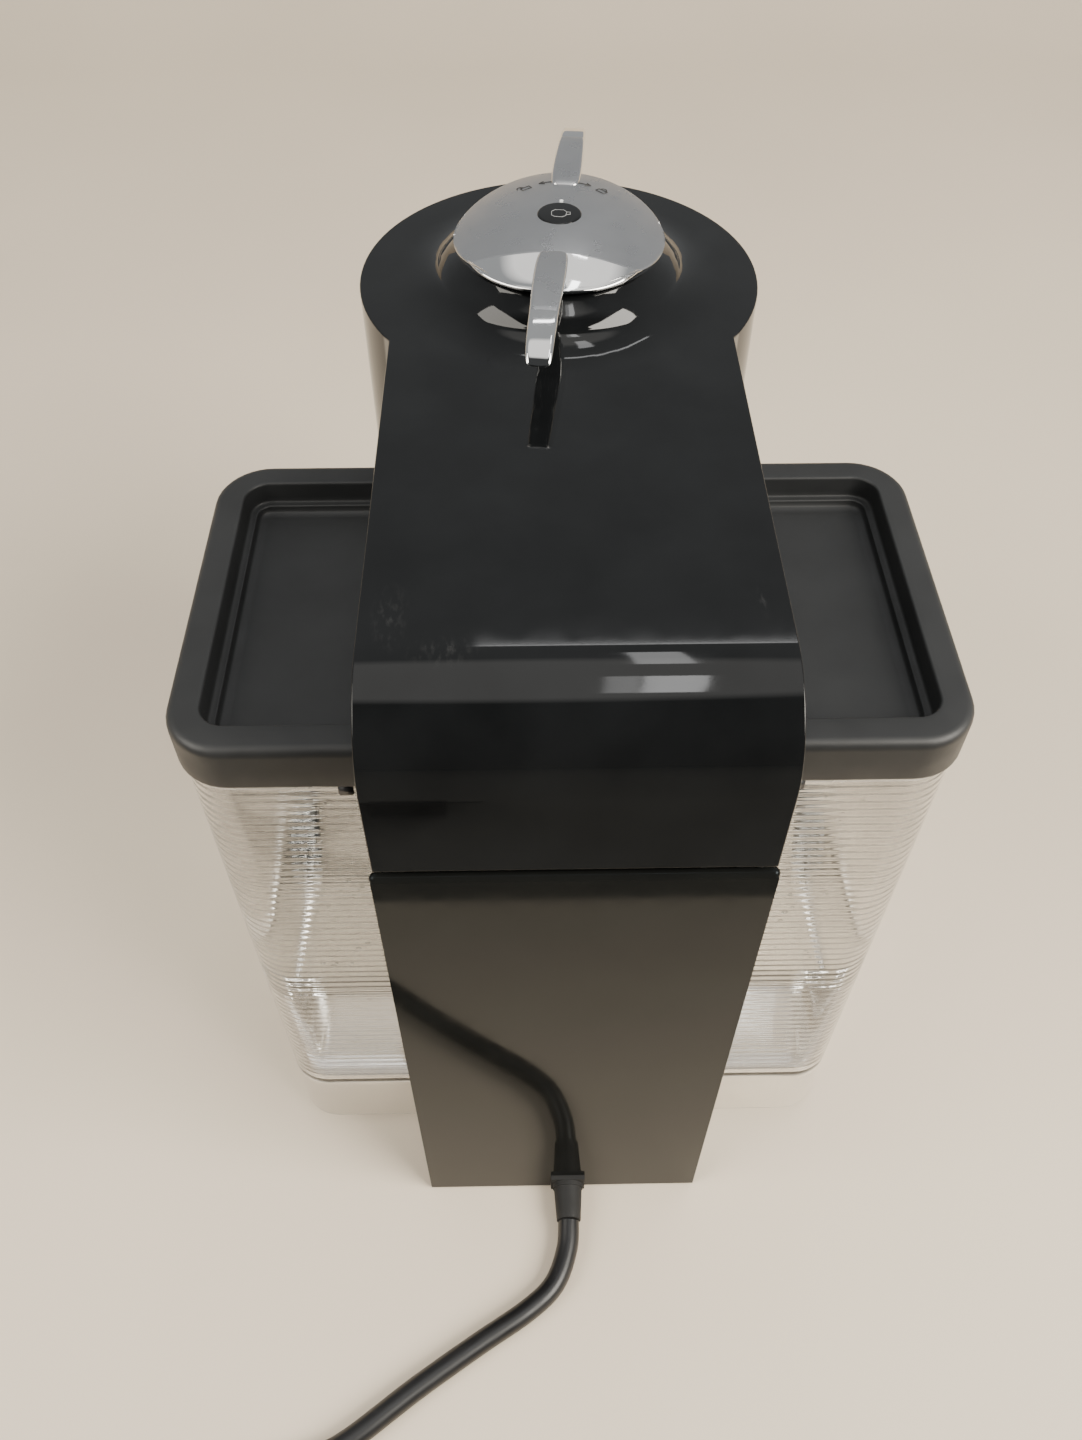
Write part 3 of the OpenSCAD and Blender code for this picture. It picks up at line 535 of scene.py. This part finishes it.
def padlock(degrees, opened):
    """Outline strokes of a padlock, drawn in the disc's surface."""
    cx, cy = on_disc(22.0, degrees)
    a = math.radians(degrees)
    ux, uy = (math.cos(a), math.sin(a)), (math.sin(a), -math.cos(a))

    def at(u, v):
        return cx + u * ux[0] + v * uy[0], cy + u * ux[1] + v * uy[1]
    body = [at(*p) for p in ((-1.5, -1.2), (1.5, -1.2), (1.5, 0.7), (-1.5, 0.7), (-1.5, -1.2), (1.5, -1.2))]
    shift = 1.5 if opened else 0.0
    turns = [math.radians(t) for t in range(0, 181, 20)]
    bow = [at(shift + 0.95 * math.cos(t), 0.8 + 1.2 * math.sin(t)) for t in turns]
    return [raised(body), raised(bow)]


ARROW_R = 22.6
icons = [raised([on_disc(ARROW_R, d) for d in range(-20, 21, 2)])]
for end, back in ((-20, 1), (20, -1)):
    tip = on_disc(ARROW_R, end - back * 0.8)
    barbs = [on_disc(ARROW_R + side * 1.1, end + back * 3.2) for side in (1, -1)]
    icons.append(raised([barbs[0], tip, barbs[1]]))
icons += padlock(33, True) + padlock(-32, False)
curve("lever_icons", icons, 0.2, "ink", "lever", "matte_black", resolution=1)
LIGHT_Y = 7.6   # the small lamp sits just past the button's edge
light = [lever_place((x, -LIGHT_Y, dome(x, LIGHT_Y) + 0.02)) for x in (-0.5, 0.0, 0.5)]
curve("button_light", [light], 0.45, "light_white", "lever", "nylon_white", resolution=2)
cup = [
    (-2.4, -0.4), (-2.2, 1.8), (-1.2, 2.6), (1.0, 2.6), (2.0, 1.8), (2.2, -0.4), (1.2, -1.5), (-1.4, -1.5),
    (-2.4, -0.4),
]
grip = [(2.15, 1.2), (3.3, 0.9), (3.2, -0.4), (2.2, -0.4)]
outline = [[lever_place((-x, y, BUTTON_TOP - 0.12)) for x, y in line] for line in (cup, grip)]
curve("button_icon", outline, 0.13, "print_grey", "button", "nylon_grey", resolution=1)


# ---- tank lid ----

def lid_profile():
    inner = LID_RIM
    return (
        [(inner + 4, 235.2), (inner + 4, LID_LOW), (0.7, LID_LOW), (0.1, LID_LOW + 0.6)]
        + [(0.0, z) for z in (LID_LOW + 1.2, 238, LID_TOP - 3.2)]
        + arc(2.6, LID_TOP - 2.6, 2.6, 180, 90, 5) + [(inner - 2.4, LID_TOP)]
        + arc(inner - 1.0, LID_TOP - 0.8, 0.8, 90, 0, 4)
        + [(inner + 0.1, 241.2)] + arc(inner + 0.9, 240.2, 0.6, 180, 270, 2)
        + [(inner + 2.0, 239.6)] + arc(inner + 2.1, 239.1, 0.5, 90, 0, 3)
        + [(inner + 2.9, 238.0), (inner + 3.4, 237.6), (inner + 6, 237.6)]
    )


lid_rings = [[(p[0], p[1], z) for p in rounded_ring(LID_W, LID_D, LID_CORNER, inset, 0, TANK_Y, 10, 2)]
             for inset, z in lid_profile()]
finish_mesh(loft(lid_rings), "tank_lid_shell", "lid", "matte_black", ["matte_black"], "tank_lid")
catches = bmesh.new()
for x in (-59, 59):
    for side in (-1, 1):
        y = TANK_Y + side * (LID_D / 2 - 0.5)
        place = Matrix.Translation((x * MM, y * MM, 229.0 * MM))
        shape = Matrix.Diagonal((4 * MM, 1 * MM, 3.6 * MM, 1))
        bmesh.ops.create_cube(catches, size=1.0, matrix=place @ shape)
bmesh.ops.bevel(catches, geom=list(catches.edges), offset=0.3 * MM, segments=2, affect="EDGES")
finish_mesh(catches, "lid_catches", "lid", "matte_black", ["soft_black"])


# ---- water tank ----

def rib(z):
    """Depth of the ribs inside the tank at this height."""
    strength = RIB_DEPTH * max(0.18, 1 - max(0.0, RIB_FADE_Z - z) / 20)
    return strength * (0.5 + 0.5 * math.cos(2 * math.pi * z / RIB_PITCH))


def tank_ring(inset, z, ribbed=False):
    ring = []
    for x, y, nx, ny in rounded_ring(TANK_W, TANK_D, TANK_CORNER, inset, 0, TANK_Y, 8, 4):
        depth = rib(z) * ease(abs(ny) * 1.5) if ribbed else 0.0
        ring.append((x - nx * depth, y - ny * depth, z))
    return ring


def make_tank():
    wall, low, top = TANK_WALL, TANK_LOW, TANK_TOP
    rings = [tank_ring(wall + 4, TANK_SKIRT_TOP), tank_ring(wall + 1, TANK_SKIRT_TOP)]
    rings += [tank_ring(wall, TANK_SKIRT_TOP - 1)]
    foot, lip = tank_ring(0.6, low), tank_ring(0.0, top - 1.8)
    rings += [tank_ring(wall, low + 0.5), tank_ring(wall - 0.5, low), foot, tank_ring(0.0, low + 0.8)]
    rings += [tank_ring(0.0, z) for z in (12, 30, 36, 44, 60, 120, 180, 225)]
    rings += [lip, tank_ring(0.0, top - 0.8), tank_ring(0.3, top - 0.2)]
    rings += [tank_ring(0.7, top), tank_ring(wall - 0.6, top), tank_ring(wall, top - 0.5)]
    z = top - 1.5
    while z > TANK_FLOOR + 5:
        rings.append(tank_ring(wall, z, True))
        z -= RIB_PITCH / 6
    rings += [tank_ring(wall + inset, height) for inset, height in arc(4, TANK_FLOOR + 4, 4, 180, 270, 5)]
    rings.append(tank_ring(wall + 7, TANK_FLOOR))
    # the lip and foot rings get the painted highlight material
    edges = (rings.index(lip), rings.index(foot))

    def paint(i, k):
        return 1 if i in edges else 0
    plastics = ["clear_tank", "tank_edge_highlight"]
    bm = loft(rings, materials=paint)
    return finish_mesh(bm, "tank_shell", "tank", "clear_tank", plastics, "water_tank")


def make_water():
    inset, low, top = TANK_WALL + 0.5, TANK_FLOOR + 0.4, WATER_TOP
    rings = [tank_ring(inset + 5, low), tank_ring(inset + 3.2, low + 0.3), tank_ring(inset + 1.1, low + 1.5)]
    rings += [tank_ring(inset, z) for z in (low + 4, 60, 90, top - 0.5, top + 0.7)]
    rings += [tank_ring(inset + 0.5, top + 0.25), tank_ring(inset + 2, top), tank_ring(inset + 6, top)]
    return finish_mesh(loft(rings), "tank_water", "tank", "clear_tank", ["water"])


def make_drops():
    rng = random.Random(7)
    bm = bmesh.new()
    for _ in range(70):
        side = rng.choice((-1, 1))
        x = side * rng.uniform(53, 80)
        z = rng.uniform(128, 222) if rng.random() < 0.7 else rng.uniform(50, 222)
        r = rng.uniform(0.35, 1.05)
        place = Matrix.Translation((x * MM, (TANK_Y + TANK_D / 2 - TANK_WALL - 0.7) * MM, z * MM))
        shape = Matrix.Diagonal((r * MM, r * 0.35 * MM, r * rng.uniform(0.9, 1.5) * MM, 1))
        bmesh.ops.create_icosphere(bm, subdivisions=2, radius=1.0, matrix=place @ shape)
    return finish_mesh(bm, "tank_drops", "tank", "clear_tank", ["water"])


make_tank()
make_water()
make_drops()

# ---- carried-over CAD nodes ----

EDGES = {   # width of the rounding on each node's edges
    "head_shell": 0.7, "rear_panel": 0.5, "button_cap": 0.25, "head_base": 0.8, "front_column": 0.6,
    "capsule_container": 1.2, "cup_support": 1.0, "drip_tray": 0.6, "drip_grid": 0.35, "coffee_spout": 1.2,
    "rear_column": 0.8, "base_rail": 0.6, "rubber_feet": 0.6, "cord_gland": 0.5, "power_plug": 1.2,
    "head_liner": 0.4, "hinge_arms": 0.5, "hinge_bracket": 0.6, "collector_bowl": 0.3, "capsule_holder": 0.3,
    "clamp_bell": 0.4, "lock_plate": 0.4, "injector": 0.3, "power_board": 0.3, "pump": 0.8,
    "heating_block": 0.8,
    "flow_meter": 0.6, "drive_motor": 0.6, "valve_body": 0.4, "valve_filter": 0.3, "motor_bracket": 0.5,
}
SLOT_OF = {s["node"]: s["material_slot"] for s in frame["record"]["subparts"]}
for name, o in nodes.items():
    o.data.materials.clear()
    o.data.materials.append(M[SLOT_OF[name]])
    if name in EDGES:
        soften(name, EDGES[name])


# ---- stage and light ----

def paint_dark_reflection(m):
    """Glossy plastic mirrors the floor up to the table's edge. Past it, the floor is painted dark for glossy
    rays only: a painted dark reflection of the room behind the camera.
    """
    nt = m.node_tree
    split = node(nt, "ShaderNodeSeparateXYZ")
    nt.links.new(coords(nt), split.inputs[0])
    past_edge = ramp(nt, split.outputs["Y"], TABLE_EDGE_Y, TABLE_EDGE_Y + 0.002, 0.0, 1.0)
    path = node(nt, "ShaderNodeLightPath")
    # painted dark reflection: the floor's colour seen by glossy rays past the table's edge
    dark = node(nt, "ShaderNodeBsdfDiffuse", Color=(0.1, 0.1, 0.095, 1))
    mixed = node(nt, "ShaderNodeMixShader")
    nt.links.new(product(nt, past_edge, path.outputs["Is Glossy Ray"]), mixed.inputs[0])
    nt.links.new(nt.nodes["Principled BSDF"].outputs[0], mixed.inputs[1])
    nt.links.new(dark.outputs[0], mixed.inputs[2])
    nt.links.new(mixed.outputs[0], nt.nodes["Material Output"].inputs["Surface"])


def stage_plane():
    """Floor that sweeps up into a backdrop behind the machine's front."""
    bm = bmesh.new()
    flat_end, sweep = -0.9, 0.4
    line = [(2.5, 0.0), (flat_end, 0.0)]
    for turn in [math.radians(a) for a in range(6, 91, 6)]:
        line.append((flat_end - sweep * math.sin(turn), sweep - sweep * math.cos(turn)))
    rows = [[bm.verts.new((x, y, z - 0.0002)) for x in (-2.5, 2.5)] for y, z in line]
    for a, b in zip(rows, rows[1:]):
        bm.faces.new((a[0], a[1], b[1], b[0]))
    me = bpy.data.meshes.new("floor")
    for f in bm.faces:
        f.smooth = True
    bm.to_mesh(me)
    bm.free()
    o = bpy.data.objects.new("floor", me)
    bpy.context.scene.collection.objects.link(o)
    paint = material("floor_paint", (0.84, 0.72, 0.57), (0.45, 0.6), vary=0.03, patch=3.0, grain=350.0,
                     grain_depth=0.0002, grain_strength=0.15)
    paint_dark_reflection(paint)
    me.materials.append(paint)


def lamp(name, place, aim, size, energy, colour=(1, 1, 1)):
    data = bpy.data.lights.new(name, "AREA")
    data.shape = "RECTANGLE"
    data.size, data.size_y = size
    data.energy = energy
    data.color = colour
    o = bpy.data.objects.new(name, data)
    bpy.context.scene.collection.objects.link(o)
    o.location = place
    o.rotation_euler = (Vector(aim) - Vector(place)).to_track_quat("-Z", "Y").to_euler()
    return o


def make_world():
    world = bpy.data.worlds.new("studio")
    bpy.context.scene.world = world
    world.use_nodes = True
    nt = world.node_tree
    back = nt.nodes["Background"]
    tc = node(nt, "ShaderNodeTexCoord")
    split = node(nt, "ShaderNodeSeparateXYZ")
    nt.links.new(tc.outputs["Generated"], split.inputs[0])
    tone = ramp(nt, split.outputs["Y"], 0.2, 0.42, 1.0, 0.15)
    sky = mix_colour(nt, tone, (0.0, 0.0, 0.0), (0.62, 0.635, 0.64))
    overhead = ramp(nt, split.outputs["Z"], 0.9, 0.94, 0.0, 1.0)
    nt.links.new(mix_colour(nt, overhead, sky, (2.0, 1.97, 1.9)), back.inputs["Color"])
    back.inputs["Strength"].default_value = 0.62


stage_plane()
make_world()
lamp("key", (-1.15, 0.75, 1.15), (0, 0.2, 0.0), (1.0, 1.0), 50, (1.0, 0.95, 0.86))
lamp("fill", (1.15, 0.6, 1.1), (0, 0.2, 0.0), (1.0, 1.0), 20, (1.0, 0.95, 0.86))
# Panes of light overhead, which the glossy bend mirrors
for name, low, high, power in (
        ("pane_far", (-0.285, -0.92), (-0.178, -0.38), 0.9),
        ("pane_near", (-0.295, 0.06), (-0.185, 0.62), 1.4),
        ("pane_side", (-0.178, 0.06), (-0.12, 0.62), 0.3),
        ("strip", (-0.6, -1.5), (0.12, -1.42), 0.9)):
    middle = [(a + b) / 2 for a, b in zip(low, high)]
    lamp(name, (*middle, 2.0), (*middle, 0.0), [b - a for a, b in zip(low, high)], power)
